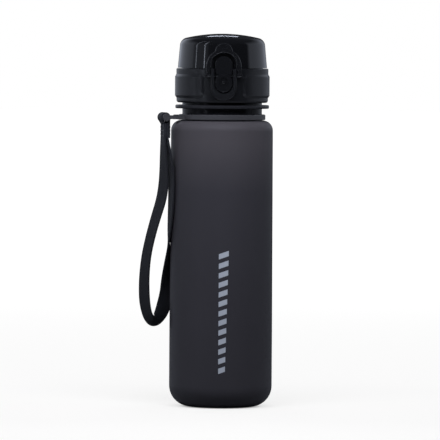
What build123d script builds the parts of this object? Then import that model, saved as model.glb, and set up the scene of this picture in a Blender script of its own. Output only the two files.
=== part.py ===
from build123d import *
import math
import os

# Sports drinking bottle with a screw lid, a flip cover, a push latch with a lock bail,
# and a wrist strap on a loose ring. Millimetres. The origin is the centre of the foot,
# +Z is up and -Y is the front, where the latch is.

os.makedirs("parts", exist_ok=True)

# ---------------------------------------------------------------- driving dimensions

# Body
BODY_R = 32.3
BODY_TOP_R = 32.0
WALL = 2.0
FOOT_R = 19.2
FOOT_INNER_R = 15.6
FOOT_RECESS = 3.0
BOTTOM_CORNER_R = BODY_R - FOOT_R
GRIP_TOP_Z = 48.0
SHOULDER_R = 6.4
SHOULDER_Z = 173.5

# Neck and its flange
NECK_R = 25.0
NECK_BORE_R = 22.3
THREAD_ROOT_R = 24.6
MOUTH_Z = 205.4
FLANGE_R = 29.4
FLANGE_Z0 = 187.3
FLANGE_Z1 = 189.5
FLANGE_ROUND = 0.6
MARK_R = 0.55

# Screw thread, right-handed
PITCH = 5.0
THREAD_DEPTH = 1.3
THREAD_BASE_W = 2.2
THREAD_CREST_W = 1.0
THREAD_Z = 194.2
OUTER_TURNS = 1.5
INNER_TURNS = 1.4

# Strap ring, its tab and the bar that the strap hangs from
RING_R0 = 25.35
RING_R1 = 27.2
RING_Z0 = 180.2
RING_Z1 = 183.6
RING_ROUND = 0.5
TAB_AZIMUTH = 193.5
BAR_R = 37.7
BAR_Z = 181.7
BAR_RADIUS = 1.7
TAB_HALF_W = 5.4
TAB_ARM_W = 1.7
TAB_ARM_H = 2.2
TAB_EYE_R = 2.3
TAB_ROOT = 2.6

# Strap webbing
TAPE_W = 10.0
TAPE_T = 1.3
TAPE_SLACK = 0.15
SEWN_R0 = 34.8
SEWN_Z0 = 168.7
SEWN_Z1 = 178.4

# Lid collar
LID_Z0 = 191.0
LID_Z1 = 212.4
COLLAR_R0 = 28.7
COLLAR_R1 = 28.9
COLLAR_FOOT = 1.1
LID_BORE_R = 26.3
DECK_Z0 = 207.1
DECK_Z1 = 209.1
RIM_R0 = 24.2
RIM_R1 = 25.5
RIM_TOP_Z = 214.4
PAD_R = 29.7
PAD_Z0 = 194.0
PAD_Z1 = 208.8
PAD_START = 24.5
PAD_RAMP = 0.85
PAD_RAMP_W = 1.5
PAD_CORNER_R = 3.5

# Flip cover
COVER_Z0 = 212.7
COVER_R0 = 28.0
COVER_R1 = 26.75
COVER_TOP_Z = 234.2
DOME_R = 100.0
COVER_EDGE_R = 5.3
COVER_WALL = 1.8

# Front latch: housing, button, bail and their pin
PIN_Y = -30.2
PIN_Z = 208.0
LATCH_PIN_R = 0.75
RUNNING_GAP = 0.05
HOUSING_HALF_W = 8.0
HOUSING_Z0 = 192.4
HOUSING_Y = -31.7
HOUSING_BACK_Y = -27.0
HOUSING_ROUND = 0.6
POCKET_HALF_W = 6.0
POCKET_Z0 = 196.9
POCKET_FLOOR_Y = -27.9
TONGUE_ROOM_Y = -26.7
TONGUE_ROOM_Z = 207.4
BUTTON_HALF_W = 5.3
BUTTON_Z0 = 197.6
BUTTON_Z1 = 220.3
BUTTON_Y = -31.5
TONGUE_Y = -29.9
TONGUE_BACK_Y = -27.4
BUTTON_BACK_Y = -29.0
BUTTON_ROUND = 0.5
DIMPLE_Z = 203.9
DIMPLE_R = 2.9
DIMPLE_DEPTH = 0.9
KNOB_R = 1.9
PAD_ARC_R = 5.5
BAIL_HALF_W = 11.0
BAIL_INNER_HALF_W = 8.3
BAIL_T = 2.2
BAIL_ARC_Z = 213.9
BAIL_LEAN = 3.0
BAIL_EDGE_R = 0.8
THUMB_R = 5.5
THUMB_Z = 223.0
THUMB_NOTCH_R = 0.6
EYE_R = 1.5
SPRING_Z = 200.8
SPRING_FRONT_Y = -28.15
SPRING_R = 1.7

# The cover's U-shaped recess and the lip round it
RECESS_HALF_W = 6.4
RECESS_TOP_Z = 221.3
RECESS_FLOOR_Y = -25.2
RECESS_BACK_Y = -23.4
LIP_HALF_W = 8.1
LIP_TOP_Z = 222.5
LIP_BACK_Y = -25.0
LIP_ROUND = 0.5
LIP_LOW_Y = -28.75
LIP_HIGH_Y = -28.05

# The tongue's hook and the cover's catch below it
HOOK_HALF_W = 3.0
HOOK_Y = -26.2
HOOK_Z0 = 218.5
HOOK_Z1 = 219.7
CATCH_Y = -25.9
CATCH_Z0 = 216.4
CATCH_Z1 = 218.1

# Rear hinge
HINGE_Y = 30.2
HINGE_Z = 212.6
HINGE_PIN_R = 1.0
KNUCKLE_R = 3.0
KNUCKLE_GAP = 0.4
HINGE_HALF_W = 11.0
COVER_LUG_X0 = 2.7
COVER_LUG_X1 = 5.0
COLLAR_LUG_X0 = 5.4
WEB_INNER_Y = 26.5
COLLAR_WEB_H = 9.5
COVER_WEB_H = 7.0

# Spout, vent and seals
SPOUT_R0 = 11.2
SPOUT_R1 = 10.6
SPOUT_BORE_R = 9.3
SPOUT_TOP_Z = 224.5
SPOUT_FLANGE_R = 14.6
SPOUT_FLANGE_Z0 = 204.9
VENT_Y = 17.0
VENT_R = 2.6
VENT_BORE_R = 1.2
VENT_TOP_Z = 218.1
VENT_PLUG_H = 1.6
VENT_STEM_R = 1.0
SEAL_GAP = 0.3
GASKET_Z0 = 205.7
GASKET_R0 = 22.6
GASKET_R1 = 25.6
GASKET_H = 1.1
SEAL_R = 11.9
SEAL_H = 1.5
PLUG_R = 8.2
PLUG_DEPTH = 1.6
STEM_R = 2.0
LINER_R = 13.6
LINER_H = 1.2

# ---------------------------------------------------------------- helpers


def save(shape, name):
    export_step(shape, "parts/" + name + ".step")


def tube(r_out, r_in, z0, z1):
    """A plain ring about the bottle's axis."""
    outer = Pos(0, 0, z0) * Cylinder(r_out, z1 - z0, align=(Align.CENTER, Align.CENTER, Align.MIN))
    inner = Pos(0, 0, z0 - 1) * Cylinder(r_in, z1 - z0 + 2, align=(Align.CENTER, Align.CENTER, Align.MIN))
    return outer - inner


def drum(radius, z0, z1, x=0.0, y=0.0):
    """A plain upright cylinder."""
    return Pos(x, y, z0) * Cylinder(radius, z1 - z0, align=(Align.CENTER, Align.CENTER, Align.MIN))


def block(x0, x1, y0, y1, z0, z1):
    """A box between two corners."""
    middle = Pos((x0 + x1) / 2, (y0 + y1) / 2, (z0 + z1) / 2)
    return middle * Box(x1 - x0, y1 - y0, z1 - z0)


def turned(*rz):
    """The solid that a closed outline of (radius, height) points sweeps about the axis."""
    outline = Polyline(*[(r, 0, z) for r, z in rz], close=True)
    return revolve(make_face(outline), Axis.Z)


def cross_pin(radius, x0, x1, y, z):
    """A cylinder along X."""
    lying = Rotation(0, 90, 0) * Cylinder(radius, x1 - x0)
    return Pos((x0 + x1) / 2, y, z) * lying


def front_plate(sketch, y_front, y_back):
    """A sketch drawn in X and Z, made solid between two distances in front of the axis."""
    return extrude(Plane(origin=(0, y_back, 0), x_dir=(1, 0, 0), z_dir=(0, -1, 0)) * sketch, y_back - y_front)


def stadium(half_w, z_low, z_high):
    """An upright slot outline with round ends."""
    return Pos(0, (z_low + z_high) / 2) * SlotOverall(z_high - z_low, 2 * half_w, rotation=90)


def arch(half_w, z_square, z_round):
    """An upright outline with one square end and one round end, either way up."""
    way = 1 if z_round > z_square else -1
    centre_z = z_round - way * half_w
    sides = Polyline((-half_w, centre_z), (-half_w, z_square), (half_w, z_square), (half_w, centre_z))
    return make_face(sides + ThreePointArc((half_w, centre_z), (0, z_round), (-half_w, centre_z)))


def thread(wall_r, depth, z, turns):
    """A trapezoid ridge wound round the wall; a negative depth stands inwards."""
    root = -0.3 if depth > 0 else 0.3
    base = THREAD_BASE_W / 2
    crest = THREAD_CREST_W / 2
    with BuildPart() as ridge:
        with BuildLine():
            Helix(pitch=PITCH, height=PITCH * turns, radius=wall_r, center=(0, 0, z))
        with BuildSketch(Plane(origin=(wall_r, 0, z), x_dir=(1, 0, 0), z_dir=(0, -1, 0))):
            Polygon((root, -base), (depth, -crest), (depth, crest), (root, base), align=None)
        sweep(is_frenet=True)
    return ridge.part


# ---------------------------------------------------------------- bottle


def body_blank():
    """The body, shoulder, neck and flange as one turned shell."""
    inner_shoulder = SHOULDER_R - WALL
    shoulder_centre = BODY_TOP_R - SHOULDER_R
    neck_foot = SHOULDER_Z + math.sqrt(SHOULDER_R**2 - (NECK_R - shoulder_centre) ** 2)
    floor = FOOT_RECESS + WALL
    with BuildPart() as blank:
        with BuildSketch(Plane.XZ):
            with BuildLine():
                Polyline(
                    (0, floor),
                    (0, FOOT_RECESS),
                    (FOOT_INNER_R - 3, FOOT_RECESS - 0.8),
                    (FOOT_INNER_R, 0),
                    (FOOT_R, 0),
                )
                RadiusArc((FOOT_R, 0), (BODY_R, BOTTOM_CORNER_R), -BOTTOM_CORNER_R)
                Polyline((BODY_R, BOTTOM_CORNER_R), (BODY_R, GRIP_TOP_Z), (BODY_TOP_R, SHOULDER_Z))
                RadiusArc((BODY_TOP_R, SHOULDER_Z), (NECK_R, neck_foot), -SHOULDER_R)
                Polyline(
                    (NECK_R, neck_foot),
                    (NECK_R, LID_Z0 + 0.6),
                    (THREAD_ROOT_R, LID_Z0 + 1.2),
                    (THREAD_ROOT_R, MOUTH_Z - 0.5),
                    (THREAD_ROOT_R - 0.5, MOUTH_Z),
                    (NECK_BORE_R + 0.4, MOUTH_Z),
                    (NECK_BORE_R, MOUTH_Z - 0.4),
                    (NECK_BORE_R, SHOULDER_Z + inner_shoulder + 2),
                    (shoulder_centre, SHOULDER_Z + inner_shoulder),
                )
                RadiusArc(
                    (shoulder_centre, SHOULDER_Z + inner_shoulder),
                    (BODY_TOP_R - WALL, SHOULDER_Z),
                    inner_shoulder,
                )
                Polyline(
                    (BODY_TOP_R - WALL, SHOULDER_Z),
                    (BODY_R - WALL, GRIP_TOP_Z),
                    (BODY_R - WALL, BOTTOM_CORNER_R),
                )
                RadiusArc((BODY_R - WALL, BOTTOM_CORNER_R), (FOOT_R, WALL), BOTTOM_CORNER_R - WALL)
                Polyline(
                    (FOOT_R, WALL),
                    (FOOT_INNER_R + 1, WALL + 0.3),
                    (FOOT_INNER_R - 3, floor - 0.7),
                    (0, floor),
                )
            make_face()
        revolve(axis=Axis.Z)
    return blank.part


def make_bottle_body():
    flange = tube(FLANGE_R, NECK_R - 0.5, FLANGE_Z0, FLANGE_Z1)
    flange = fillet(flange.edges().filter_by(GeomType.CIRCLE).sort_by(SortBy.RADIUS)[-2:], FLANGE_ROUND)
    body = body_blank() + flange + thread(THREAD_ROOT_R, THREAD_DEPTH, THREAD_Z, OUTER_TURNS)
    # the small mould mark on the flange's front edge
    mark = Pos(0, -FLANGE_R, (FLANGE_Z0 + FLANGE_Z1) / 2) * Sphere(MARK_R)
    return body - mark


def make_strap_ring():
    """Ring with a rectangular tab, drawn along +X and turned to its azimuth."""
    ring = tube(RING_R1, RING_R0, RING_Z0, RING_Z1)
    edges = ring.edges().filter_by(GeomType.CIRCLE).sort_by(SortBy.RADIUS)[-2:]
    ring = fillet(edges, RING_ROUND)
    arm_y = TAB_HALF_W + TAB_ARM_W / 2
    for side in (-1, 1):
        y0 = side * arm_y - TAB_ARM_W / 2
        ring += block(RING_R0 + 0.2, BAR_R, y0, y0 + TAB_ARM_W, BAR_Z - TAB_ARM_H / 2, BAR_Z + TAB_ARM_H / 2)
        # the arm's thicker root beside the ring, and its round end
        ring += block(RING_R0 + 0.2, RING_R1 + TAB_ROOT, y0, y0 + TAB_ARM_W, RING_Z0 + 0.1, RING_Z1 - 0.3)
        eye = Rotation(90, 0, 0) * Cylinder(TAB_EYE_R, TAB_ARM_W)
        ring += Pos(BAR_R, side * arm_y, BAR_Z) * eye
    bar = Rotation(90, 0, 0) * Cylinder(BAR_RADIUS, 2 * (TAB_HALF_W + TAB_ARM_W))
    ring += Pos(BAR_R, 0, BAR_Z) * bar
    ring -= drum(RING_R0, RING_Z0 - 1, RING_Z1 + 1)
    return Rotation(0, 0, TAB_AZIMUTH) * ring


# The tape's route from the sewn block down the outer leg, round the bottom of the loop and up the
# inner leg, which comes from behind and lies along the body's side: x, y, z, then the turn of its
# width from the Y axis and the lift of its width out of level, in degrees.
STRAP_ROUTE = [
    (-37.0, -8.9, 170.0, 13.5, 0),
    (-37.0, -8.9, 164.0, 16.0, 0),
    (-36.8, -8.7, 157.0, 22.0, 0),
    (-36.5, -8.2, 149.0, 28.0, 0),
    (-36.6, -7.3, 139.5, 34.0, 0),
    (-37.9, -6.0, 130.0, 36.0, 0),
    (-41.1, -4.2, 119.5, 34.0, 0),
    (-44.5, -2.0, 107.0, 32.0, 0),
    (-47.1, 0.6, 94.5, 32.0, 0),
    (-48.2, 3.2, 82.5, 35.0, 0),
    (-48.3, 5.6, 72.0, 38.0, 2),
    (-47.7, 7.6, 63.5, 37.0, 10),
    (-46.2, 8.9, 57.0, 28.0, 24),
    (-44.1, 9.6, 53.9, 15.0, 38),
    (-42.0, 10.1, 53.0, 0.0, 47),
    (-39.6, 10.8, 54.2, -20.0, 54),
    (-37.3, 11.6, 58.0, -50.0, 56),
    (-35.4, 12.2, 63.5, -62.0, 48),
    (-34.0, 12.1, 70.0, -58.0, 34),
    (-33.8, 11.0, 77.5, -45.0, 20),
    (-33.8, 7.6, 86.5, -27.0, 9),
    (-33.5, 2.4, 96.5, -9.0, 3),
    (-33.0, -3.4, 107.0, 5.0, 0),
    (-32.3, -7.6, 118.0, 13.0, 0),
    (-31.8, -9.7, 130.0, 17.0, 0),
    (-31.7, -10.2, 142.0, 18.0, 0),
    (-32.4, -9.9, 152.5, 17.0, 0),
    (-34.0, -9.3, 161.5, 15.0, 0),
    (-35.7, -8.6, 170.0, 13.5, 0),
]


def tape_section(index):
    """The tape's cross-section at one point of its route, square to the run there."""
    x, y, z, turn, lift = STRAP_ROUTE[index]
    turn = math.radians(turn)
    lift = math.radians(lift)
    before = Vector(*STRAP_ROUTE[max(index - 1, 0)][:3])
    after = Vector(*STRAP_ROUTE[min(index + 1, len(STRAP_ROUTE) - 1)][:3])
    run = (after - before).normalized()
    if index in (0, len(STRAP_ROUTE) - 1):
        run = Vector(0, 0, run.Z).normalized()
    width = Vector(math.cos(lift) * math.sin(turn), -math.cos(lift) * math.cos(turn), math.sin(lift))
    width = (width - run * width.dot(run)).normalized()
    thick = run.cross(width)
    here = Vector(x, y, z)
    across = width * (TAPE_W / 2)
    half = thick * (TAPE_T / 2)
    return Wire.make_polygon(
        [here - across - half, here + across - half, here + across + half, here - across + half], close=True
    )


def make_wrist_strap():
    """The tape folded over the bar, its sewn block of three layers, and the hanging loop."""
    legs = Solid.make_loft([tape_section(i) for i in range(len(STRAP_ROUTE))], ruled=True)
    sewn_r1 = SEWN_R0 + 3 * TAPE_T
    hole_r = BAR_RADIUS + TAPE_SLACK
    fold = Pos(BAR_R, BAR_Z) * Circle(hole_r + TAPE_T)
    middle = Pos((SEWN_R0 + sewn_r1) / 2, (SEWN_Z0 + SEWN_Z1) / 2)
    seam = middle * Rectangle(sewn_r1 - SEWN_R0, SEWN_Z1 - SEWN_Z0)
    side = make_hull((fold + seam).edges())
    side -= Pos(BAR_R, BAR_Z) * Circle(hole_r)
    loop = extrude(Plane(origin=(0, TAPE_W / 2, 0), x_dir=(1, 0, 0), z_dir=(0, -1, 0)) * side, TAPE_W)
    return legs + Rotation(0, 0, TAB_AZIMUTH) * loop


# ---------------------------------------------------------------- lid


def collar_blank():
    """The collar's turned skirt with its deck and the upright rim inside the cover."""
    return turned(
        (LID_BORE_R, LID_Z0),
        (COLLAR_R0 - COLLAR_FOOT, LID_Z0),
        (COLLAR_R0 - COLLAR_FOOT / 3, LID_Z0 + COLLAR_FOOT / 3),
        (COLLAR_R0, LID_Z0 + COLLAR_FOOT),
        (COLLAR_R1, LID_Z1 - 0.5),
        (COLLAR_R1 - 0.5, LID_Z1),
        (RIM_R1, LID_Z1),
        (RIM_R1, RIM_TOP_Z - 0.3),
        (RIM_R1 - 0.3, RIM_TOP_Z),
        (RIM_R0, RIM_TOP_Z),
        (RIM_R0, DECK_Z1),
        (SPOUT_R0, DECK_Z1),
        (SPOUT_R0, DECK_Z0),
        (LID_BORE_R, DECK_Z0),
    )


def grip_pad(start, stop):
    """One raised panel on the collar, with round corners and a ramp all round."""
    foot = COLLAR_R0 - 1.0
    panel = tube(PAD_R, foot, PAD_Z0, PAD_Z1)
    reach = 60.0
    spread = [start + (stop - start) * step / 3 for step in range(4)]
    rays = [(reach * math.cos(math.radians(a)), reach * math.sin(math.radians(a))) for a in spread]
    sector = Polygon((0, 0), *rays, align=None)
    panel &= extrude(Pos(0, 0, PAD_Z0 - 1) * sector, PAD_Z1 - PAD_Z0 + 2)
    corners = [e for e in panel.edges() if abs(e.length - (PAD_R - foot)) < 0.01]
    panel = fillet(corners, PAD_CORNER_R)
    face = panel.faces().sort_by(lambda f: -math.hypot(f.center().X, f.center().Y))[0]
    return chamfer(face.edges(), PAD_RAMP_W, PAD_RAMP, reference=face)


def hinge_block(x0, x1, side_of_wall):
    """A knuckle and the web that joins it to the collar (-1) or to the cover (+1)."""
    knuckle = cross_pin(KNUCKLE_R, x0, x1, HINGE_Y, HINGE_Z)
    if side_of_wall < 0:
        outline = [
            (WEB_INNER_Y, HINGE_Z - 0.4),
            (WEB_INNER_Y, HINGE_Z - COLLAR_WEB_H),
            (COLLAR_R0 - 0.1, HINGE_Z - COLLAR_WEB_H),
            (HINGE_Y + KNUCKLE_R * 0.97, HINGE_Z - 0.75),
            (HINGE_Y, HINGE_Z),
        ]
    else:
        outline = [
            (COVER_R1 - 1.0, COVER_Z0 + 0.1),
            (HINGE_Y, HINGE_Z + 0.3),
            (HINGE_Y + KNUCKLE_R * 0.7, HINGE_Z + KNUCKLE_R * 0.71),
            (COVER_R1 - 0.1, COVER_Z0 + COVER_WEB_H),
            (COVER_R1 - 1.3, COVER_Z0 + COVER_WEB_H),
        ]
    web = make_face(Polyline(*[(x0, y, z) for y, z in outline], close=True))
    return knuckle + extrude(web, x1 - x0, dir=(1, 0, 0))


def make_lid_base():
    lid = collar_blank()
    for start, stop in ((-90 + PAD_START, 90 - PAD_START), (90 + PAD_START, 270 - PAD_START)):
        lid += grip_pad(start, stop)
    # latch housing, standing out from the collar and open at the top
    housing = front_plate(arch(HOUSING_HALF_W, LID_Z1, HOUSING_Z0), HOUSING_Y, HOUSING_BACK_Y)
    lid += fillet(housing.faces().sort_by(Axis.Y)[0].edges(), HOUSING_ROUND)
    pocket = arch(POCKET_HALF_W, LID_Z1 + 5, POCKET_Z0)
    lid -= front_plate(pocket, HOUSING_Y - 2, POCKET_FLOOR_Y)
    lid -= block(-POCKET_HALF_W, POCKET_HALF_W, HOUSING_Y - 2, TONGUE_ROOM_Y, TONGUE_ROOM_Z, LID_Z1 + 3)
    # room for the cover's recess behind the tongue
    lid -= block(-HOUSING_HALF_W - 1, HOUSING_HALF_W + 1, HOUSING_BACK_Y, -20.0, LID_Z1, RIM_TOP_Z + 1)
    # rear knuckles, with room for the cover's lugs between them
    for x0, x1 in ((-HINGE_HALF_W, -COLLAR_LUG_X0), (COLLAR_LUG_X0, HINGE_HALF_W)):
        lid += hinge_block(x0, x1, -1)
    lid -= cross_pin(KNUCKLE_R + KNUCKLE_GAP, -COLLAR_LUG_X0, COLLAR_LUG_X0, HINGE_Y, HINGE_Z)
    lid -= cross_pin(HINGE_PIN_R, -HINGE_HALF_W - 1, HINGE_HALF_W + 1, HINGE_Y, HINGE_Z)
    lid -= drum(LID_BORE_R, LID_Z0 - 1, DECK_Z0)
    # vent
    lid += drum(VENT_R, DECK_Z1 - 0.5, VENT_TOP_Z, y=VENT_Y)
    lid -= drum(VENT_BORE_R, DECK_Z0 - 1, VENT_TOP_Z + 1, y=VENT_Y)
    # pin holes through the housing's cheeks
    lid -= cross_pin(LATCH_PIN_R, -HOUSING_HALF_W - 1, HOUSING_HALF_W + 1, PIN_Y, PIN_Z)
    inner_thread = thread(LID_BORE_R, -THREAD_DEPTH, THREAD_Z, INNER_TURNS)
    return lid + Rotation(0, 0, 180) * inner_thread


def make_spout():
    """Drinking spout with a flange under the deck and a rounded rim."""
    spout = turned(
        (SPOUT_BORE_R, SPOUT_FLANGE_Z0),
        (SPOUT_FLANGE_R, SPOUT_FLANGE_Z0),
        (SPOUT_FLANGE_R, SPOUT_FLANGE_Z0 + 1.2),
        (SPOUT_R0, SPOUT_FLANGE_Z0 + 1.2),
        (SPOUT_R0, DECK_Z1 + 0.2),
        (SPOUT_R0 + 0.5, DECK_Z1 + 0.5),
        (SPOUT_R0 + 0.3, DECK_Z1 + 1.2),
        (SPOUT_R1, SPOUT_TOP_Z),
        (SPOUT_BORE_R, SPOUT_TOP_Z),
    )
    rim = spout.edges().filter_by(GeomType.CIRCLE).sort_by(Axis.Z)[-2:]
    return fillet(rim, 0.6)


def make_lid_gasket():
    """Flat ring with bevelled top edges, between the mouth and the deck."""
    bevel = 0.3
    top = GASKET_Z0 + GASKET_H
    return turned(
        (GASKET_R0, GASKET_Z0),
        (GASKET_R1, GASKET_Z0),
        (GASKET_R1, top - bevel),
        (GASKET_R1 - 2 * bevel, top),
        (GASKET_R0 + 2 * bevel, top),
        (GASKET_R0, top - bevel),
    )


def make_spout_oring():
    """O-ring squeezed between the spout's flange and the deck."""
    z0 = SPOUT_FLANGE_Z0 + 1.2
    return turned((SPOUT_R0, z0), (SPOUT_R0 + 1.6, z0), (SPOUT_R0 + 1.6, DECK_Z0), (SPOUT_R0, DECK_Z0))


# ---------------------------------------------------------------- cover


def cover_solid(inset):
    """The cover's whole volume, drawn in from its outside by inset."""
    top_z = COVER_TOP_Z - inset
    dome_r = DOME_R - inset
    side_r = COVER_R1 - inset
    edge_r = COVER_EDGE_R - inset
    # the edge's round touches the dome from inside and the side wall
    centre_r = side_r - edge_r
    dome_centre_z = top_z - dome_r
    centre_z = dome_centre_z + math.sqrt((dome_r - edge_r) ** 2 - centre_r**2)
    reach = dome_r / (dome_r - edge_r)
    touch = (centre_r * reach, dome_centre_z + (centre_z - dome_centre_z) * reach)
    with BuildPart() as solid:
        with BuildSketch(Plane.XZ):
            with BuildLine():
                Polyline((0, top_z), (0, COVER_Z0), (COVER_R0 - inset, COVER_Z0), (side_r, centre_z))
                RadiusArc((side_r, centre_z), touch, -edge_r)
                RadiusArc(touch, (0, top_z), -dome_r)
            make_face()
        revolve(axis=Axis.Z)
    return solid.part


def make_flip_cover():
    outside = cover_solid(0)
    cavity = cover_solid(COVER_WALL) + drum(COVER_R0 - COVER_WALL, COVER_Z0 - 1, COVER_Z0)
    shell = outside - cavity
    # wall behind the recess
    back_outline = arch(RECESS_HALF_W + COVER_WALL, COVER_Z0, RECESS_TOP_Z + COVER_WALL)
    back = front_plate(back_outline, -COVER_R0 - 2, RECESS_BACK_Y)
    shell += back & outside
    # lip round the recess, standing proud of the wall and leaning with it
    lip_side = make_face(
        Polyline(
            (-LIP_HALF_W, LIP_BACK_Y, COVER_Z0),
            (-LIP_HALF_W, LIP_LOW_Y, COVER_Z0),
            (-LIP_HALF_W, LIP_HIGH_Y, LIP_TOP_Z),
            (-LIP_HALF_W, LIP_BACK_Y, LIP_TOP_Z),
            close=True,
        )
    )
    lip = extrude(lip_side, 2 * LIP_HALF_W, dir=(1, 0, 0))
    lip &= front_plate(arch(LIP_HALF_W, COVER_Z0, LIP_TOP_Z), LIP_LOW_Y - 2, LIP_BACK_Y + 1)
    rim = [e for e in lip.faces().sort_by(Axis.Y)[0].edges() if e.center().Z > COVER_Z0 + 0.5]
    lip = fillet(rim, LIP_ROUND)
    shell += lip - cavity
    shell -= front_plate(arch(RECESS_HALF_W, COVER_Z0 - 1, RECESS_TOP_Z), LIP_LOW_Y - 2, RECESS_FLOOR_Y)
    # the catch that the tongue's hook stands over
    shell += block(-HOOK_HALF_W, HOOK_HALF_W, CATCH_Y, RECESS_FLOOR_Y + 0.2, CATCH_Z0, CATCH_Z1)
    # rear lugs
    for x0, x1 in ((-COVER_LUG_X1, -COVER_LUG_X0), (COVER_LUG_X0, COVER_LUG_X1)):
        shell += hinge_block(x0, x1, 1) - cavity
    for x0, x1 in ((-HINGE_HALF_W - 0.4, -COVER_LUG_X1), (COVER_LUG_X1, HINGE_HALF_W + 0.4)):
        shell -= cross_pin(KNUCKLE_R + KNUCKLE_GAP, x0, x1, HINGE_Y, HINGE_Z)
    shell -= cross_pin(KNUCKLE_R - 0.2, -COVER_LUG_X0, COVER_LUG_X0, HINGE_Y, HINGE_Z)
    shell -= cross_pin(HINGE_PIN_R + RUNNING_GAP, -COVER_LUG_X1 - 1, COVER_LUG_X1 + 1, HINGE_Y, HINGE_Z)
    return shell


def make_cover_liner():
    """Moulded plate under the dome with a ring that meets the dome and a post for the vent plug."""
    plate_z = SPOUT_TOP_Z + SEAL_GAP + SEAL_H
    plate_top = plate_z + LINER_H
    liner = drum(LINER_R, plate_z, plate_top)
    liner += tube(LINER_R, LINER_R - 1.4, plate_z, COVER_TOP_Z)
    liner += block(-VENT_R, VENT_R, LINER_R - 1.6, VENT_Y, plate_z, plate_top)
    liner += drum(VENT_R, VENT_TOP_Z + SEAL_GAP + VENT_PLUG_H, plate_top, y=VENT_Y)
    liner -= drum(VENT_STEM_R, VENT_TOP_Z, VENT_TOP_Z + 5.0, y=VENT_Y)
    liner -= drum(STEM_R, plate_z - 1, plate_z + 0.8)
    return liner & cover_solid(COVER_WALL)


def make_spout_seal():
    """Soft disc over the spout's rim, with a short tapered plug and a stem held in the liner."""
    z0 = SPOUT_TOP_Z + SEAL_GAP
    return turned(
        (0, z0 - PLUG_DEPTH),
        (PLUG_R - 0.8, z0 - PLUG_DEPTH),
        (PLUG_R, z0 - 0.4),
        (PLUG_R, z0),
        (SEAL_R - 0.3, z0),
        (SEAL_R, z0 + 0.4),
        (SEAL_R, z0 + SEAL_H),
        (STEM_R, z0 + SEAL_H),
        (STEM_R, z0 + SEAL_H + 0.8),
        (0, z0 + SEAL_H + 0.8),
    )


def make_vent_plug():
    """Small plug over the vent tube, with its stem held in the liner."""
    z0 = VENT_TOP_Z + SEAL_GAP
    top = z0 + VENT_PLUG_H
    head = VENT_R - 0.2
    stem_top = top + 2.8
    plug = turned(
        (0, z0),
        (head - 0.3, z0),
        (head, z0 + 0.3),
        (head, top),
        (VENT_STEM_R, top),
        (VENT_STEM_R, stem_top),
        (0, stem_top),
    )
    return Pos(0, VENT_Y, 0) * plug


# ---------------------------------------------------------------- latch


def make_latch_button():
    """Rocker: a thick round pad below the pin, and a thinner tongue with a hook above it."""
    tongue = front_plate(stadium(BUTTON_HALF_W, BUTTON_Z0, BUTTON_Z1), TONGUE_Y, TONGUE_BACK_Y)
    tongue = fillet(tongue.faces().sort_by(Axis.Y)[0].edges(), BUTTON_ROUND)
    pad = front_plate(stadium(BUTTON_HALF_W, BUTTON_Z0, DIMPLE_Z + PAD_ARC_R), BUTTON_Y, BUTTON_BACK_Y)
    pad = fillet(pad.faces().sort_by(Axis.Y)[0].edges(), BUTTON_ROUND)
    # behind the pad the tongue's stock is cut back, so that the pad can be pushed in
    button = tongue - block(-7, 7, BUTTON_BACK_Y, -20, BUTTON_Z0 - 1, PIN_Z) + pad
    button += block(-HOOK_HALF_W, HOOK_HALF_W, TONGUE_BACK_Y - 0.2, HOOK_Y, HOOK_Z0, HOOK_Z1)
    # dimple with a domed knob in it
    floor_y = BUTTON_Y + DIMPLE_DEPTH
    button -= front_plate(Pos(0, DIMPLE_Z) * Circle(DIMPLE_R), BUTTON_Y - 1, floor_y)
    knob = Pos(0, BUTTON_Y + KNOB_R, DIMPLE_Z) * Sphere(KNOB_R)
    button += knob & block(-3, 3, BUTTON_Y - 1, floor_y + 0.1, DIMPLE_Z - 3, DIMPLE_Z + 3)
    # blind hole for the spring, from behind
    button -= front_plate(Pos(0, SPRING_Z) * Circle(SPRING_R + 0.35), BUTTON_BACK_Y - 1.3, BUTTON_BACK_Y + 1)
    return button - cross_pin(LATCH_PIN_R + RUNNING_GAP, -9, 9, PIN_Y, PIN_Z)


def make_lock_bail():
    """U-shaped bail with a round thumb tab, leaning back a little with the cover's side."""
    outer = arch(BAIL_HALF_W, PIN_Z, BAIL_ARC_Z + BAIL_HALF_W) + Pos(0, THUMB_Z) * Circle(THUMB_R)
    notches = [v for v in outer.vertices() if v.Y > BAIL_ARC_Z + 1]
    outer = fillet(notches, THUMB_NOTCH_R)
    shape = outer - arch(BAIL_INNER_HALF_W, PIN_Z - 1, BAIL_ARC_Z + BAIL_INNER_HALF_W)
    bail = front_plate(shape, PIN_Y - BAIL_T / 2, PIN_Y + BAIL_T / 2)
    rims = [e for e in bail.edges() if abs(abs(e.center().Y - PIN_Y) - BAIL_T / 2) < 0.01 and e.length > 1.0]
    rims = [e for e in rims if e.center().Z > PIN_Z + 0.1]
    bail = fillet(rims, BAIL_EDGE_R)
    for x0, x1 in ((-BAIL_HALF_W, -BAIL_INNER_HALF_W), (BAIL_INNER_HALF_W, BAIL_HALF_W)):
        bail += cross_pin(EYE_R, x0, x1, PIN_Y, PIN_Z)
    bail -= cross_pin(LATCH_PIN_R + RUNNING_GAP, -12, 12, PIN_Y, PIN_Z)
    pivot = Pos(0, PIN_Y, PIN_Z)
    return pivot * Rotation(BAIL_LEAN, 0, 0) * pivot.inverse() * bail


def make_latch_pin():
    """Steel pin through the bail's arms, the housing's cheeks and the button."""
    pin = cross_pin(LATCH_PIN_R, -11.7, 11.7, PIN_Y, PIN_Z)
    return chamfer(pin.edges().filter_by(GeomType.CIRCLE), 0.2)


def make_hinge_pin():
    pin = cross_pin(HINGE_PIN_R, -HINGE_HALF_W + 0.2, HINGE_HALF_W - 0.2, HINGE_Y, HINGE_Z)
    return chamfer(pin.edges().filter_by(GeomType.CIRCLE), 0.2)


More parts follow.
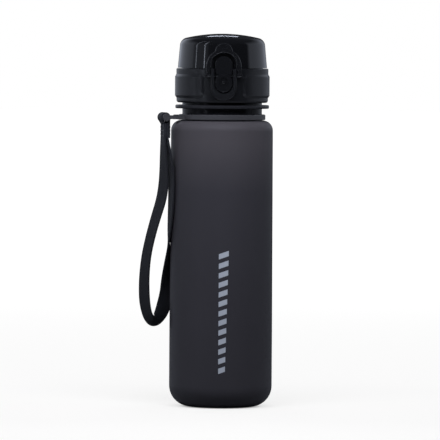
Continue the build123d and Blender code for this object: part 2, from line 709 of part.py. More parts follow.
def coil(radius, wire_r, pitch, turns):
    """A round-wire helix about Z from the origin upwards."""
    with BuildPart() as spring:
        with BuildLine():
            Helix(pitch=pitch, height=pitch * turns, radius=radius)
        with BuildSketch(Plane(origin=(radius, 0, 0), x_dir=(1, 0, 0), z_dir=(0, -1, 0))):
            Circle(wire_r)
        sweep(is_frenet=True)
    return spring.part


def make_latch_spring():
    """Small coil spring between the pocket's floor and the button's back."""
    wire_r = 0.22
    length = 2.0
    turns = 3.0
    spring = coil(SPRING_R, wire_r, length / turns, turns)
    return Pos(0, SPRING_FRONT_Y, SPRING_Z) * Rotation(90, 0, 0) * spring


def make_hinge_spring():
    """Torsion spring wound on the hinge pin between the cover's lugs."""
    wire_r = 0.3
    turns = 6.0
    pitch = 0.66
    spring = coil(HINGE_PIN_R + 0.5, wire_r, pitch, turns)
    return Pos(-pitch * turns / 2, HINGE_Y, HINGE_Z) * Rotation(0, 90, 0) * spring


# ---------------------------------------------------------------- write the pieces

PIECES = {
    "bottle_body": make_bottle_body,
    "strap_ring": make_strap_ring,
    "wrist_strap": make_wrist_strap,
    "lid_base": make_lid_base,
    "lid_gasket": make_lid_gasket,
    "spout": make_spout,
    "spout_oring": make_spout_oring,
    "flip_cover": make_flip_cover,
    "cover_liner": make_cover_liner,
    "spout_seal": make_spout_seal,
    "vent_plug": make_vent_plug,
    "hinge_pin": make_hinge_pin,
    "hinge_spring": make_hinge_spring,
    "latch_button": make_latch_button,
    "latch_pin": make_latch_pin,
    "latch_spring": make_latch_spring,
    "lock_bail": make_lock_bail,
}

for node, make in PIECES.items():
    save(make(), node)
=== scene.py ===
import math

import bpy
from mathutils import Matrix, Vector


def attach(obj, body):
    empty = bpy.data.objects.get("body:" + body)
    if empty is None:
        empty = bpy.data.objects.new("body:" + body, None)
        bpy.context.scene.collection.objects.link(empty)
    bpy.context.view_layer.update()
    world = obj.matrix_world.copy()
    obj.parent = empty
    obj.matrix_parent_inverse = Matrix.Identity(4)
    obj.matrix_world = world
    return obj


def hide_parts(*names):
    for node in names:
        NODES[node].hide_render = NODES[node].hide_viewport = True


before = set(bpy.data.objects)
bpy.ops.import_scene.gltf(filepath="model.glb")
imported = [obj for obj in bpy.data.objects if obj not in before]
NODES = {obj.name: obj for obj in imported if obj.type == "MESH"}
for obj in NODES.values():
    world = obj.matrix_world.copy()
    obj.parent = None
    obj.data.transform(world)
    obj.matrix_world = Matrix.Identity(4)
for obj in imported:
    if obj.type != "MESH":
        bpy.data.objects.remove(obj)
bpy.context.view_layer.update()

# The looks of a sports drinking bottle: a frosted charcoal body, a matt collar, a glossy flip cover
# with its latch and bail, and a woven wrist strap on a loose ring. Metres, +Z up, -Y is the front.

MM = 0.001

# ---------------------------------------------------------------- sizes that the looks need

# Camera: a long lens, level with the top of the cover and a little to the left of the front
CAMERA_AZIMUTH = math.radians(-1.65)
CAMERA_DISTANCE = 3.2
CAMERA_HEIGHT = 0.235
CAMERA_ROLL = math.radians(0.375)
AIM_Z = 0.11715
AIM_SIDE = -0.0009
SEEN_WIDTH = 0.2766

# Strap ring's tab and the bar that the strap is folded over
TAB_AZIMUTH = math.radians(193.5)
BAR_R = 37.7 * MM
BAR_Z = 181.7 * MM
TAPE_W = 10.0 * MM
TAPE_T = 1.3 * MM
FOLD_R = 2.5 * MM
OUTER_LAYER_R = 38.05 * MM
MIDDLE_LAYER_R = 36.75 * MM
INNER_LAYER_R = 35.45 * MM
SEWN_Z0 = 168.7 * MM
SEWN_Z1 = 178.4 * MM
LEG_TOP_Z = 170.0 * MM

# The tape's route from the sewn block down the outer leg, round the bottom of the loop and up the
# inner leg, which comes from behind and lies along the body's side: x, y, z, then the turn of its
# width from the Y axis and the lift of its width out of level, in degrees
STRAP_ROUTE = [
    (-0.0370, -0.0089, 0.1700, 13.5, 0),
    (-0.0370, -0.0089, 0.1640, 16.0, 0),
    (-0.0368, -0.0087, 0.1570, 22.0, 0),
    (-0.0365, -0.0082, 0.1490, 28.0, 0),
    (-0.0366, -0.0073, 0.1395, 34.0, 0),
    (-0.0379, -0.0060, 0.1300, 36.0, 0),
    (-0.0411, -0.0042, 0.1195, 34.0, 0),
    (-0.0445, -0.0020, 0.1070, 32.0, 0),
    (-0.0471, 0.0006, 0.0945, 32.0, 0),
    (-0.0482, 0.0032, 0.0825, 35.0, 0),
    (-0.0483, 0.0056, 0.0720, 38.0, 2),
    (-0.0477, 0.0076, 0.0635, 37.0, 10),
    (-0.0462, 0.0089, 0.0570, 28.0, 24),
    (-0.0441, 0.0096, 0.0539, 15.0, 38),
    (-0.0420, 0.0101, 0.0530, 0.0, 47),
    (-0.0396, 0.0108, 0.0542, -20.0, 54),
    (-0.0373, 0.0116, 0.0580, -50.0, 56),
    (-0.0354, 0.0122, 0.0635, -62.0, 48),
    (-0.0340, 0.0121, 0.0700, -58.0, 34),
    (-0.0338, 0.0110, 0.0775, -45.0, 20),
    (-0.0338, 0.0076, 0.0865, -27.0, 9),
    (-0.0335, 0.0024, 0.0965, -9.0, 3),
    (-0.0330, -0.0034, 0.1070, 5.0, 0),
    (-0.0323, -0.0076, 0.1180, 13.0, 0),
    (-0.0318, -0.0097, 0.1300, 17.0, 0),
    (-0.0317, -0.0102, 0.1420, 18.0, 0),
    (-0.0324, -0.0099, 0.1525, 17.0, 0),
    (-0.0340, -0.0093, 0.1615, 15.0, 0),
    (-0.0357, -0.0086, 0.1700, 13.5, 0),
]
STRAP_LENGTH = 0.25
ROUTE_STEPS = 40

# The tape's weave: ribs run slantwise in bands that change hands across the width
BAND_W = 2.5 * MM
RIB_PITCH = 1.0 * MM
YARN_PITCH = 0.5 * MM

# The body's outside: straight up to GRIP_TOP_Z, then slightly tapered up to the shoulder
BODY_R = 32.3 * MM
BODY_TOP_R = 32.0 * MM
GRIP_TOP_Z = 48.0 * MM
SHOULDER_Z = 173.5 * MM

# Where the body's colour changes: over the first span the frosted skin is painted paler towards the shoulder,
# as painted light; above the second the neck is unfrosted, glossier and painted darker, as painted shade under
# the collar; and outside the radius the flange is painted paler, as painted light
SHOULDER_LIGHT_Z = (135.0 * MM, 166.0 * MM)
NECK_GLOSS_AND_SHADE_Z = (179.3 * MM, 179.7 * MM)
FLANGE_LIGHT_R = (25.8 * MM, 26.6 * MM)

# Printed bars on the body's front
PRINT_AZIMUTH = math.radians(-90 + 1.3)
PRINT_Z0 = 22.3 * MM
PRINT_PITCH = 5.95 * MM
PRINT_BARS = 13

# The studio's light is a little cool: shares of red, green and blue
COOL = (0.93, 1.0, 1.17)

# The tent round the bottle: degrees from the front, growing to the right, and the light's level there.
# Its dark open top takes over between two heights of the view's direction, where 1 is straight up.
TENT_STOPS = [
    (-180, 0.03), (-170, 0.04), (-160, 0.95), (-100, 0.7), (-88, 0.55), (-84, 0.3), (-45, 0.25), (-38, 0.06),
    (0, 0.04), (68, 0.04), (76, 0.62), (150, 0.66), (168, 0.04), (180, 0.03),
]
TENT_TOP_LEVEL = 0.075
TENT_TOP_SPAN = (0.35, 0.7)

# The tall strips of light at the left: how far off they stand, their middle's height and their size
STRIP_AWAY = 1.2
STRIP_MID_Z = 1.1
STRIP_W = 0.025
STRIP_H = 2.4

# The table's own glow: its level from front to back, lower in front as painted shade, what distance adds, and
# the share left round the base, a painted shadow there
FLOOR_R = 12.0
FLOOR_GLOW_AND_FRONT_SHADE = (0.7, 0.805)
FRONT_SHADE_Y = (-0.12, 0.2)
FAR_GLOW = (0.0, 0.2)
FAR_GLOW_R = (0.2, 1.6)
FOOT_PAINTED_SHADOW = (0.35, 1.0)
FOOT_PAINTED_SHADOW_R = (20.5 * MM, 26.5 * MM)

# ---------------------------------------------------------------- small helpers


def link_object(name, data):
    obj = bpy.data.objects.new(name, data)
    bpy.context.scene.collection.objects.link(obj)
    return obj


def mesh_object(name, verts, faces, smooth=True):
    mesh = bpy.data.meshes.new(name)
    mesh.from_pydata([tuple(v) for v in verts], [], faces)
    mesh.update()
    mesh.polygons.foreach_set("use_smooth", [smooth] * len(mesh.polygons))
    return link_object(name, mesh)


def body_radius(z):
    """The body's outer radius at a height."""
    share = max(0.0, (z - GRIP_TOP_Z) / (SHOULDER_Z - GRIP_TOP_Z))
    return BODY_R + (BODY_TOP_R - BODY_R) * share


# ---------------------------------------------------------------- camera


def make_camera():
    data = bpy.data.cameras.new("camera")
    camera = link_object("camera", data)
    data.sensor_width = 36.0
    data.clip_start = 0.1
    data.clip_end = 30.0
    aside = Vector((math.cos(CAMERA_AZIMUTH), math.sin(CAMERA_AZIMUTH), 0))
    aim = aside * AIM_SIDE + Vector((0, 0, AIM_Z))
    place = Vector((math.sin(CAMERA_AZIMUTH), -math.cos(CAMERA_AZIMUTH), 0)) * CAMERA_DISTANCE
    place.z = CAMERA_HEIGHT
    away = (aim - place).length
    data.lens = data.sensor_width * away / SEEN_WIDTH
    look = (aim - place).to_track_quat("-Z", "Y").to_matrix().to_4x4()
    camera.matrix_world = Matrix.Translation(place) @ look @ Matrix.Rotation(CAMERA_ROLL, 4, "Z")
    bpy.context.scene.camera = camera


# ---------------------------------------------------------------- node material helpers

# The colour sockets of a Mix node, which share their names with its number and vector sockets
MIX_A = 6
MIX_B = 7
MIX_RESULT = 2


class Shader:
    """A material's node tree, with short calls for the nodes that the finishes share."""

    def __init__(self, name):
        self.material = bpy.data.materials.new(name)
        self.material.use_nodes = True
        self.tree = self.material.node_tree
        self.surface = self.tree.nodes["Principled BSDF"]

    def node(self, kind, **settings):
        made = self.tree.nodes.new("ShaderNode" + kind)
        for key, value in settings.items():
            setattr(made, key, value)
        return made

    def link(self, source, target):
        self.tree.links.new(source, target)

    def set(self, **values):
        """Constants on the shader's own sockets."""
        for key, value in values.items():
            self.surface.inputs[key.replace("_", " ")].default_value = value

    def place(self, kind="Object"):
        """A texture coordinate."""
        return self.node("TexCoord").outputs[kind]

    def noise(self, scale, detail=3.0, roughness=0.5, stretch=None):
        """Noise from 0 to 1, in the piece's own coordinates or in a stretch of them."""
        made = self.node("TexNoise")
        made.inputs["Scale"].default_value = scale
        made.inputs["Detail"].default_value = detail
        made.inputs["Roughness"].default_value = roughness
        where = self.place()
        if stretch:
            mapping = self.node("Mapping")
            mapping.inputs["Scale"].default_value = stretch
            self.link(where, mapping.inputs["Vector"])
            where = mapping.outputs["Vector"]
        self.link(where, made.inputs["Vector"])
        return made.outputs["Fac"]

    def range(self, value, low, high, from_low=0.0, from_high=1.0):
        """A value brought from one range to another, and held at its ends."""
        made = self.node("MapRange")
        made.inputs["From Min"].default_value = from_low
        made.inputs["From Max"].default_value = from_high
        made.inputs["To Min"].default_value = low
        made.inputs["To Max"].default_value = high
        self.link(value, made.inputs["Value"])
        return made.outputs["Result"]

    def math(self, operation, a, b=None):
        """A sum of one or two values, each a number or a socket."""
        made = self.node("Math", operation=operation)
        for index, value in enumerate((a, b)):
            if value is None:
                continue
            if isinstance(value, (int, float)):
                made.inputs[index].default_value = value
            else:
                self.link(value, made.inputs[index])
        return made.outputs[0]

    def mix(self, share, low, high):
        """Two colours mixed by a value."""
        made = self.node("Mix", data_type="RGBA")
        self.link(share, made.inputs["Factor"])
        for index, colour in ((MIX_A, low), (MIX_B, high)):
            if isinstance(colour, tuple):
                made.inputs[index].default_value = (*colour, 1.0)
            else:
                self.link(colour, made.inputs[index])
        return made.outputs[MIX_RESULT]

    def colour(self, socket):
        self.link(socket, self.surface.inputs["Base Color"])

    def roughness(self, socket):
        self.link(socket, self.surface.inputs["Roughness"])

    def bump(self, height, distance, strength=1.0, under=None):
        """A bump on the surface, on top of another one where that is given."""
        made = self.node("Bump")
        made.inputs["Distance"].default_value = distance
        made.inputs["Strength"].default_value = strength
        self.link(height, made.inputs["Height"])
        if under is not None:
            self.link(under, made.inputs["Normal"])
        self.link(made.outputs["Normal"], self.surface.inputs["Normal"])
        return made.outputs["Normal"]

    def apart(self, kind="Object"):
        """A texture coordinate split into its X, Y and Z."""
        made = self.node("SeparateXYZ")
        self.link(self.place(kind), made.inputs[0])
        return made.outputs

    def length(self, vector):
        """How far a point lies from the origin."""
        made = self.node("VectorMath", operation="LENGTH")
        self.link(vector, made.inputs[0])
        return made.outputs["Value"]


# ---------------------------------------------------------------- finishes


def frosted_plastic():
    """Charcoal co-polyester with a fine frosted skin; painted light pales it towards the shoulder, painted
    shade darkens the unfrosted, glossier neck, and painted light pales the flange.
    """
    s = Shader("frosted_charcoal")
    split = s.apart()
    height = split["Z"]
    cloud = s.noise(35.0, 2.0)
    # the skin's tone low on the body, and a paler copy that is painted light towards the shoulder
    low = s.mix(cloud, (0.0344, 0.0318, 0.035), (0.0382, 0.0352, 0.0385))
    high = s.mix(cloud, (0.0555, 0.0495, 0.0515), (0.0615, 0.0545, 0.0567))
    skin = s.mix(s.range(height, 0.0, 1.0, *SHOULDER_LIGHT_Z), low, high)
    # the neck is unfrosted: glossier, and painted darker as painted shade under the collar
    neck_gloss_and_shade = s.range(height, 0.0, 1.0, *NECK_GLOSS_AND_SHADE_Z)
    # painted shade on the neck, and painted light on the flange outside the radius, which stands out of that
    # shade
    level = s.node("CombineXYZ")
    s.link(split["X"], level.inputs["X"])
    s.link(split["Y"], level.inputs["Y"])
    rim = s.range(s.length(level.outputs[0]), 0.0, 1.0, *FLANGE_LIGHT_R)
    neck = s.mix(rim, (0.006, 0.006, 0.007), (0.015, 0.0147, 0.016))
    s.colour(s.mix(neck_gloss_and_shade, skin, neck))
    grain = s.range(s.noise(900.0, 2.0), 0.38, 0.46)
    s.roughness(s.math("SUBTRACT", grain, s.math("MULTIPLY", neck_gloss_and_shade, 0.2)))
    s.bump(s.noise(3200.0, 2.0, 0.6), 0.00004, 0.3)
    s.set(IOR=1.22)
    return s.material


def matte_plastic():
    """Black polypropylene with a spark-eroded grain, for the collar."""
    s = Shader("matte_black_plastic")
    s.colour(s.mix(s.noise(60.0, 2.0), (0.004, 0.0041, 0.0047), (0.006, 0.0061, 0.0067)))
    s.roughness(s.range(s.noise(1500.0, 3.0), 0.26, 0.35))
    s.bump(s.noise(2600.0, 2.0, 0.6), 0.00004, 0.4)
    s.set(IOR=1.5)
    return s.material


def ring_plastic():
    """Dark grey flexible plastic of the strap ring, with a fine moulded grain."""
    s = Shader("matte_grey_plastic")
    s.colour(s.mix(s.noise(90.0, 2.0), (0.034, 0.0325, 0.0335), (0.044, 0.042, 0.0425)))
    s.roughness(s.range(s.noise(1500.0, 3.0), 0.36, 0.48))
    s.bump(s.noise(2600.0, 2.0, 0.6), 0.00003, 0.35)
    s.set(IOR=1.45)
    return s.material


def gloss_plastic():
    """Polished black cover with the faint waviness of a moulded skin and a few hairline scuffs."""
    s = Shader("gloss_black_plastic")
    s.colour(s.mix(s.noise(50.0, 2.0), (0.0022, 0.0022, 0.0026), (0.0034, 0.0034, 0.0038)))
    scuff = s.noise(240.0, 4.0, 0.7, stretch=(1.0, 1.0, 0.12))
    s.roughness(s.range(scuff, 0.05, 0.13, 0.45, 0.75))
    s.bump(s.noise(45.0, 1.0), 0.0003, 0.1)
    s.set(IOR=1.5)
    return s.material


def satin_plastic():
    """Black acetal of the latch and the bail, with flow lines and slightly rubbed high spots."""
    s = Shader("satin_black_plastic")
    rub = s.noise(420.0, 4.0, 0.65)
    s.colour(s.mix(rub, (0.0035, 0.0035, 0.004), (0.005, 0.005, 0.0055)))
    s.roughness(s.range(rub, 0.15, 0.21))
    s.bump(s.noise(1800.0, 2.0), 0.00002, 0.2)
    s.set(IOR=1.52)
    return s.material


def steel():
    """Drawn stainless wire and pins, with fine lines along the draw."""
    s = Shader("drawn_steel")
    lines = s.noise(900.0, 3.0, 0.6, stretch=(0.06, 1.0, 1.0))
    s.colour(s.mix(lines, (0.52, 0.52, 0.54), (0.68, 0.68, 0.69)))
    s.roughness(s.range(lines, 0.16, 0.3))
    s.bump(lines, 0.00003, 0.3)
    s.set(Metallic=1.0)
    return s.material


def dark_steel():
    """Blackened steel of the latch pin, rubbed a little brighter along its length."""
    s = Shader("blackened_steel")
    rub = s.noise(700.0, 3.0, 0.6, stretch=(0.1, 1.0, 1.0))
    s.colour(s.mix(rub, (0.03, 0.03, 0.032), (0.07, 0.07, 0.073)))
    s.roughness(s.range(rub, 0.18, 0.3))
    s.bump(rub, 0.00002, 0.2)
    s.set(Metallic=1.0)
    return s.material


def silicone():
    """Grey silicone of the gasket, o-ring, spout seal and vent plug, with a bloom of fine dust."""
    s = Shader("grey_silicone")
    dust = s.noise(700.0, 4.0, 0.7)
    s.colour(s.mix(dust, (0.3, 0.31, 0.32), (0.38, 0.39, 0.4)))
    s.roughness(s.range(dust, 0.42, 0.6))
    s.bump(s.noise(1400.0, 2.0), 0.00004, 0.3)
    s.set(IOR=1.41, Subsurface_Weight=0.15, Subsurface_Radius=(0.001, 0.001, 0.001))
    return s.material


def liner_plastic():
    """Dark grey moulded plastic of the cover's liner and the spout."""
    s = Shader("liner_grey_plastic")
    s.colour(s.mix(s.noise(80.0, 3.0), (0.05, 0.052, 0.056), (0.07, 0.072, 0.076)))
    s.roughness(s.range(s.noise(1200.0, 2.0), 0.38, 0.5))
    s.bump(s.noise(2200.0, 2.0), 0.00004, 0.35)
    return s.material


def webbing():
    """Woven polyester tape. Its UV map is in metres: across the width, then along the length."""
    s = Shader("woven_webbing")
    split = s.apart("UV")
    across = split["X"]
    along = split["Y"]
    slant = s.math("PINGPONG", across, BAND_W)
    rib = s.math("SINE", s.math("MULTIPLY", s.math("ADD", along, slant), 2 * math.pi / RIB_PITCH))
    yarn = s.math("SINE", s.math("MULTIPLY", across, 2 * math.pi / YARN_PITCH))
    weave = s.math("ADD", s.math("MULTIPLY", rib, 0.5), s.math("MULTIPLY", yarn, 0.35))
    fuzz = s.noise(2600.0, 3.0, 0.7)
    shade = s.range(s.math("ADD", weave, s.math("MULTIPLY", fuzz, 0.8)), 0.0, 1.0, -0.6, 1.4)
    s.colour(s.mix(shade, (0.0075, 0.0075, 0.0087), (0.0235, 0.0237, 0.0262)))
    s.roughness(s.range(fuzz, 0.65, 0.9))
    under = s.bump(weave, 0.00009, 0.8)
    s.bump(fuzz, 0.00006, 0.5, under)
    s.set(IOR=1.3, Sheen_Weight=0.03, Sheen_Roughness=0.4)
    return s.material


def sewing_thread():
    """Twisted black polyester thread."""
    s = Shader("sewing_thread")
    twist = s.node("TexWave", wave_type="BANDS", bands_direction="DIAGONAL")
    twist.inputs["Scale"].default_value = 900.0
    s.link(s.place(), twist.inputs["Vector"])
    s.colour(s.mix(twist.outputs["Fac"], (0.012, 0.012, 0.014), (0.05, 0.05, 0.054)))
    s.roughness(s.range(s.noise(2000.0, 2.0), 0.45, 0.6))
    s.bump(twist.outputs["Fac"], 0.00005, 0.6)
    s.set(Sheen_Weight=0.3)
    return s.material


def printing_ink():
    """Silver pad-printing ink with a fine mottle and thin spots."""
    s = Shader("silver_ink")
    mottle = s.noise(1800.0, 4.0, 0.7)
    s.colour(s.mix(mottle, (0.36, 0.375, 0.4), (0.5, 0.515, 0.54)))
    s.roughness(s.range(mottle, 0.38, 0.55))
    s.bump(mottle, 0.00003, 0.4)
    s.set(Metallic=0.15)
    return s.material


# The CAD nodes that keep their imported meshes, under the finish that each of them gets
FINISHES = {
    frosted_plastic: ["bottle_body"],
    matte_plastic: ["lid_base"],
    gloss_plastic: ["flip_cover"],
    ring_plastic: ["strap_ring"],
    satin_plastic: ["latch_button", "lock_bail"],
    steel: ["hinge_pin", "hinge_spring", "latch_spring"],
    dark_steel: ["latch_pin"],
    silicone: ["lid_gasket", "spout_oring", "spout_seal", "vent_plug"],
    liner_plastic: ["cover_liner", "spout"],
}


def finish_cad_nodes():
    for make, names in FINISHES.items():
        material = make()
        for name in names:
            mesh = NODES[name].data
            mesh.materials.clear()
            mesh.materials.append(material)


# ---------------------------------------------------------------- wrist strap


def spline_points(name, places):
    """The places as control points of a NURBS spline, and the points that the spline runs through."""
    curve = bpy.data.curves.new(name, "CURVE")
    curve.dimensions = "3D"
    spline = curve.splines.new("NURBS")
    spline.points.add(len(places) - 1)
    for point, place in zip(spline.points, places):
        point.co = (*place, 1.0)
    spline.order_u = 3
    spline.use_endpoint_u = True
    spline.resolution_u = ROUTE_STEPS
    holder = bpy.data.objects.new(name, curve)
    line = bpy.data.meshes.new_from_object(holder)
    points = [v.co.copy() for v in line.vertices]
    bpy.data.objects.remove(holder)
    bpy.data.curves.remove(curve)
    bpy.data.meshes.remove(line)
    return points


def tape_profile():
    """Flat faces between round edges, as shares of the half width and of the half thickness."""
    edge = 0.1
    flats = 15
    edge_step = 30
    top = [(1 - edge) * (1 - 2 * i / (flats - 1)) for i in range(flats)]
    turn = range(90 - edge_step, -90, -edge_step)
    left = [(-(1 - edge) - edge * math.cos(math.radians(a)), math.sin(math.radians(a))) for a in turn]
    face = [(across, 1.0) for across in top] + left
    return face + [(-across, -thick) for across, thick in face]


def weave_height(across, along):
    """The weave's own relief, from -1 to 1."""
    band = across % (2 * BAND_W)
    slant = min(band, 2 * BAND_W - band)
    return math.sin((along + slant) * 2 * math.pi / RIB_PITCH)


def tape(name, centres, widths, start=0.0):
    """A woven tape along the centres, with its width in the given directions.

    Its UV map is in metres. The width's own coordinate is moved by a tape's width, so that it stays positive.
    """
    relief = 0.03 * MM
    profile = tape_profile()
    count = len(profile)
    verts = []
    lengths = [start]
    for index, (centre, width) in enumerate(zip(centres, widths)):
        before = centres[max(index - 1, 0)]
        after = centres[min(index + 1, len(centres) - 1)]
        run = (after - before).normalized()
        if index:
            lengths.append(lengths[-1] + (centre - before).length)
        width = (width - run * width.dot(run)).normalized()
        thick = run.cross(width)
        for across, depth in profile:
            x = across * TAPE_W / 2
            rise = relief * weave_height(x + TAPE_W, lengths[-1]) if abs(depth) == 1.0 else 0.0
            y = depth * (TAPE_T / 2 - relief) + math.copysign(rise, depth)
            verts.append(centre + width * x + thick * y)
    faces = []
    for ring in range(len(centres) - 1):
        for i in range(count):
            j = (i + 1) % count
            faces.append((ring * count + i, ring * count + j, (ring + 1) * count + j, (ring + 1) * count + i))
    last = (len(centres) - 1) * count
    faces.append(tuple(reversed(range(count))))
    faces.append(tuple(range(last, last + count)))
    obj = mesh_object(name, verts, faces)
    uv = obj.data.uv_layers.new(name="tape")
    for polygon in obj.data.polygons:
        for loop in polygon.loop_indices:
            vertex = obj.data.loops[loop].vertex_index
            across = profile[vertex % count][0] * TAPE_W / 2 + TAPE_W
            uv.data[loop].uv = (across, lengths[vertex // count])
    return obj


def tab_point(radius, z, across=0.0):
    """A point by its distance from the bottle's axis towards the tab, its height and its way along the bar."""
    return Vector((
        radius * math.cos(TAB_AZIMUTH) - across * math.sin(TAB_AZIMUTH),
        radius * math.sin(TAB_AZIMUTH) + across * math.cos(TAB_AZIMUTH),
        z,
    ))


def evenly(points, step):
    """Points along a chain of straight pieces, about a step apart, with the chain's own corners kept."""
    out = [points[0]]
    for a, b in zip(points, points[1:]):
        pieces = max(1, round((b - a).length / step))
        out += [a.lerp(b, i / pieces) for i in range(1, pieces + 1)]
    return out


def make_strap():
    """The loop, its fold over the tab's bar, the loop's end inside the fold, and the stitches."""
    centres = spline_points("strap_route", [p[:3] for p in STRAP_ROUTE])
    half = TAPE_W / 2
    edge_route = []
    for x, y, z, turn, lift in STRAP_ROUTE:
        turn = math.radians(turn)
        level = half * math.cos(math.radians(lift))
        rise = half * math.sin(math.radians(lift))
        edge_route.append((x + level * math.sin(turn), y - level * math.cos(turn), z + rise))
    edges = spline_points("strap_edge", edge_route)
    loop = tape("strap_loop", centres, [e - c for e, c in zip(edges, centres)])

    # the fold goes up the outside of the sewn block, round the bar and down the block's inside
    fine = 0.25 * MM
    outside_lean = 25
    inside_lean = 12
    arc_step = 6
    outside_top = SEWN_Z1 - 0.7 * MM
    inside_top = SEWN_Z1 + 1.1 * MM
    tail_top = SEWN_Z1 - 0.3 * MM
    arc = [
        tab_point(BAR_R + FOLD_R * math.cos(math.radians(a)), BAR_Z + FOLD_R * math.sin(math.radians(a)))
        for a in range(-outside_lean, 180 + inside_lean + 1, arc_step)
    ]
    corners = [tab_point(OUTER_LAYER_R, LEG_TOP_Z), tab_point(OUTER_LAYER_R, outside_top)]
    corners += arc
    corners += [tab_point(INNER_LAYER_R, inside_top), tab_point(INNER_LAYER_R, SEWN_Z0)]
    side = tab_point(0, 0, -1)
    fold_line = evenly(corners, fine)
    fold = tape("strap_fold", fold_line, [side] * len(fold_line))
    tail_line = evenly([tab_point(MIDDLE_LAYER_R, LEG_TOP_Z), tab_point(MIDDLE_LAYER_R, tail_top)], fine)
    tail = tape("strap_tail", tail_line, [side] * len(tail_line), STRAP_LENGTH)
    stitches = make_stitches()

    finish = webbing()
    for piece in (loop, fold, tail):
        piece.data.materials.append(finish)
    for piece in (loop, fold, tail, stitches):
        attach(piece, "strap")
    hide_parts("wrist_strap")


def stitch(verts, faces, start, end, outward, thick):
    """One stitch: a thread that rises out of the tape and dives back into it."""
    rings = 9
    sides = 8
    crown = 0.55
    sunk = 0.35
    thin_end = 0.45
    run = (end - start).normalized()
    aside = run.cross(outward).normalized()
    first = len(verts)
    for ring in range(rings):
        share = ring / (rings - 1)
        bulge = math.sin(math.pi * share)
        centre = start.lerp(end, share) + outward * thick * (crown * bulge - sunk)
        radius = thick / 2 * (thin_end + (1 - thin_end) * math.sqrt(bulge))
        for k in range(sides):
            angle = 2 * math.pi * k / sides
            verts.append(centre + aside * radius * math.cos(angle) + outward * radius * math.sin(angle))
    for ring in range(rings - 1):
        for k in range(sides):
            n = (k + 1) % sides
            a = first + ring * sides
            b = a + sides
            faces.append((a + k, a + n, b + n, b + k))
    faces.append(tuple(first + k for k in reversed(range(sides))))
    last = first + (rings - 1) * sides
    faces.append(tuple(last + k for k in range(sides)))


def make_stitches():
    """A box of stitches through the three layers, shown on both faces of the sewn block."""
    thread = 0.42 * MM
    half_w = 3.9 * MM
    low = SEWN_Z0 + 1.4 * MM
    high = SEWN_Z1 - 1.5 * MM
    across_count = 5
    up_count = 3
    gap = 0.25 * MM
    verts = []
    faces = []
    lines = []
    for z in (low, high, (low + high) / 2):
        step = 2 * half_w / across_count
        lines += [((-half_w + i * step, z), (-half_w + (i + 1) * step - gap, z)) for i in range(across_count)]
    for x in (-half_w, half_w):
        step = (high - low) / up_count
        lines += [((x, low + i * step), (x, low + (i + 1) * step - gap)) for i in range(up_count)]
    outward = tab_point(1, 0)
    for face_r, way in ((OUTER_LAYER_R + TAPE_T / 2, 1), (INNER_LAYER_R - TAPE_T / 2, -1)):
        for (x0, z0), (x1, z1) in lines:
            stitch(verts, faces, tab_point(face_r, z0, x0), tab_point(face_r, z1, x1), outward * way, thread)
    obj = mesh_object("strap_stitches", verts, faces)
    obj.data.materials.append(sewing_thread())
    return obj


# ---------------------------------------------------------------- print


def make_print():
    """A plain column of slanted bars, wider towards the top, as thin plates of ink on the body."""
    proud = 0.05 * MM
    sunk = -0.1 * MM
    bar_h = 3.3 * MM
    narrow = 4.2 * MM
    wide = 6.2 * MM
    slant = 0.35
    across = 10
    up = 3
    verts = []
    faces = []
    for bar in range(PRINT_BARS):
        width = narrow + (wide - narrow) * bar / (PRINT_BARS - 1)
        base_z = PRINT_Z0 + bar * PRINT_PITCH
        first = len(verts)
        for offset in (proud, sunk):
            for j in range(up + 1):
                for i in range(across + 1):
                    x = -wide / 2 + width * i / across
                    z = base_z + bar_h * j / up + slant * (x + wide / 2)
                    r = body_radius(z) + offset
                    angle = PRINT_AZIMUTH + x / r
                    verts.append((r * math.cos(angle), r * math.sin(angle), z))
        row = across + 1
        layer = row * (up + 1)
        for j in range(up):
            for i in range(across):
                a = first + j * row + i
                faces.append((a, a + 1, a + 1 + row, a + row))
                b = a + layer
                faces.append((b, b + row, b + 1 + row, b + 1))
        rim = list(range(row)) + [row * j + across for j in range(1, up + 1)]
        rim += [up * row + i for i in reversed(range(across))] + [row * j for j in reversed(range(1, up))]
        for a, b in zip(rim, rim[1:] + rim[:1]):
            faces.append((first + b, first + a, first + a + layer, first + b + layer))
    obj = mesh_object("printed_bars", verts, faces, smooth=False)
    obj.data.materials.append(printing_ink())
    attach(obj, "bottle")


# ---------------------------------------------------------------- floor, light and world


def make_floor():
    """A pale table that glows for the camera, brighter to the back, dimmer in front as painted shade, and
    dimmed round the base as a painted shadow, so that only the soft shadow shows on it.
    """
    around = 64
    verts = [(0, 0, 0)]
    for i in range(around):
        angle = 2 * math.pi * i / around
        verts.append((FLOOR_R * math.cos(angle), FLOOR_R * math.sin(angle), 0))
    faces = [(0, 1 + i, 1 + (i + 1) % around) for i in range(around)]
    floor = mesh_object("floor", verts, faces, smooth=False)
    s = Shader("pale_floor")
    seen = s.node("LightPath").outputs["Is Camera Ray"]
    distance = s.length(s.place())
    # dimmer to the front: partly evens out the front lamp, partly painted shade in front of the bottle
    behind = s.range(s.apart()["Y"], *FLOOR_GLOW_AND_FRONT_SHADE, *FRONT_SHADE_Y)
    far = s.range(distance, *FAR_GLOW, *FAR_GLOW_R)
    # dimmed round the base: a painted shadow
    painted_foot_shadow = s.range(distance, *FOOT_PAINTED_SHADOW, *FOOT_PAINTED_SHADOW_R)
    glow = s.math("MULTIPLY", s.math("ADD", behind, far), painted_foot_shadow)
    s.surface.inputs["Emission Color"].default_value = (1, 1, 1, 1)
    s.link(s.math("MULTIPLY", glow, seen), s.surface.inputs["Emission Strength"])
    s.colour(s.mix(seen, (0.25, 0.25, 0.25), (0.27, 0.25, 0.215)))
    s.set(Roughness=0.8, Specular_IOR_Level=0.0)
    floor.data.materials.append(s.material)


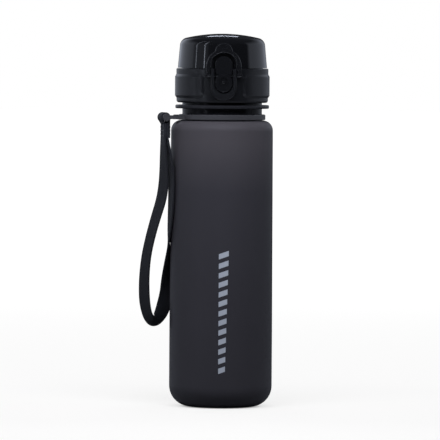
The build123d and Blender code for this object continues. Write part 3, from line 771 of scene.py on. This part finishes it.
def area_light(name, place, target, width, height, power, mirrored=True):
    """A soft light. One that isn't mirrored shows in no polished surface."""
    data = bpy.data.lights.new(name, "AREA")
    data.shape = "RECTANGLE"
    data.size = width
    data.size_y = height
    data.energy = power
    data.color = COOL
    light = link_object(name, data)
    place = Vector(place)
    look = (Vector(target) - place).to_track_quat("-Z", "Y").to_matrix().to_4x4()
    light.matrix_world = Matrix.Translation(place) @ look
    light.visible_camera = False
    light.visible_glossy = mirrored


def make_lights():
    """Each lamp's place, target, width, height and power."""
    area_light("front_fill", (-0.015, -0.3, 0.44), (0, 0, 0.15), 0.5, 0.22, 2.4, mirrored=False)
    area_light("back_fill", (0.0, 0.35, 0.9), (0, 0, 0), 0.5, 0.5, 1.6, mirrored=False)
    # a small lamp behind, which draws the bright line on the cover's dome
    area_light("back_lamp", (0.045, 1.5, 0.765), (0, 0, 0.233), 0.13, 0.03, 0.05)
    # two narrow strips at the left, as in the gaps of a light tent
    for name, turn, power in (("strip_far", 75.0, 0.8), ("strip_near", 50.0, 1.3)):
        angle = math.radians(turn)
        place = (-STRIP_AWAY * math.sin(angle), -STRIP_AWAY * math.cos(angle), STRIP_MID_Z)
        area_light(name, place, (0, 0, STRIP_MID_Z), STRIP_W, STRIP_H, power)
    # a bright patch of table in front, seen only in edges that face down
    area_light("low_front", (0.0, -0.42, 0.07), (0.0, -0.42, 1.0), 0.3, 0.03, 0.22)


def make_world():
    """A tent with pale side walls and dark openings in front, behind and above. The camera sees plain white."""
    world = bpy.data.worlds.new("studio")
    bpy.context.scene.world = world
    world.use_nodes = True
    tree = world.node_tree
    nodes = tree.nodes
    links = tree.links
    background = nodes["Background"]
    where = nodes.new("ShaderNodeTexCoord").outputs["Generated"]
    split = nodes.new("ShaderNodeSeparateXYZ")
    links.new(where, split.inputs[0])

    # the walls: the angle round the bottle picks a level from the ramp
    forward = nodes.new("ShaderNodeMath")
    forward.operation = "MULTIPLY"
    forward.inputs[1].default_value = -1.0
    links.new(split.outputs["Y"], forward.inputs[0])
    turn = nodes.new("ShaderNodeMath")
    turn.operation = "ARCTAN2"
    links.new(split.outputs["X"], turn.inputs[0])
    links.new(forward.outputs[0], turn.inputs[1])
    share = nodes.new("ShaderNodeMapRange")
    share.inputs["From Min"].default_value = -math.pi
    share.inputs["From Max"].default_value = math.pi
    links.new(turn.outputs[0], share.inputs["Value"])
    around = nodes.new("ShaderNodeValToRGB")
    links.new(share.outputs["Result"], around.inputs["Fac"])
    ramp = around.color_ramp
    while len(ramp.elements) < len(TENT_STOPS):
        ramp.elements.new(0.5)
    for element, (angle, level) in zip(ramp.elements, TENT_STOPS):
        element.position = (angle + 180) / 360
        element.color = (*(level * part for part in COOL), 1)

    # the opening above
    up = nodes.new("ShaderNodeMapRange")
    up.inputs["From Min"].default_value = TENT_TOP_SPAN[0]
    up.inputs["From Max"].default_value = TENT_TOP_SPAN[1]
    links.new(split.outputs["Z"], up.inputs["Value"])
    tent = nodes.new("ShaderNodeMix")
    tent.data_type = "RGBA"
    links.new(up.outputs["Result"], tent.inputs["Factor"])
    links.new(around.outputs["Color"], tent.inputs[MIX_A])
    tent.inputs[MIX_B].default_value = (*(TENT_TOP_LEVEL * part for part in COOL), 1)

    # what the camera sees behind everything
    seen = nodes.new("ShaderNodeLightPath").outputs["Is Camera Ray"]
    pick = nodes.new("ShaderNodeMix")
    pick.data_type = "RGBA"
    links.new(seen, pick.inputs["Factor"])
    links.new(tent.outputs[MIX_RESULT], pick.inputs[MIX_A])
    pick.inputs[MIX_B].default_value = (1, 1, 1, 1)
    links.new(pick.outputs[MIX_RESULT], background.inputs["Color"])


# ---------------------------------------------------------------- the scene

bpy.context.scene.view_settings.view_transform = "Standard"
make_camera()
make_strap()
finish_cad_nodes()
make_print()
make_floor()
make_lights()
make_world()
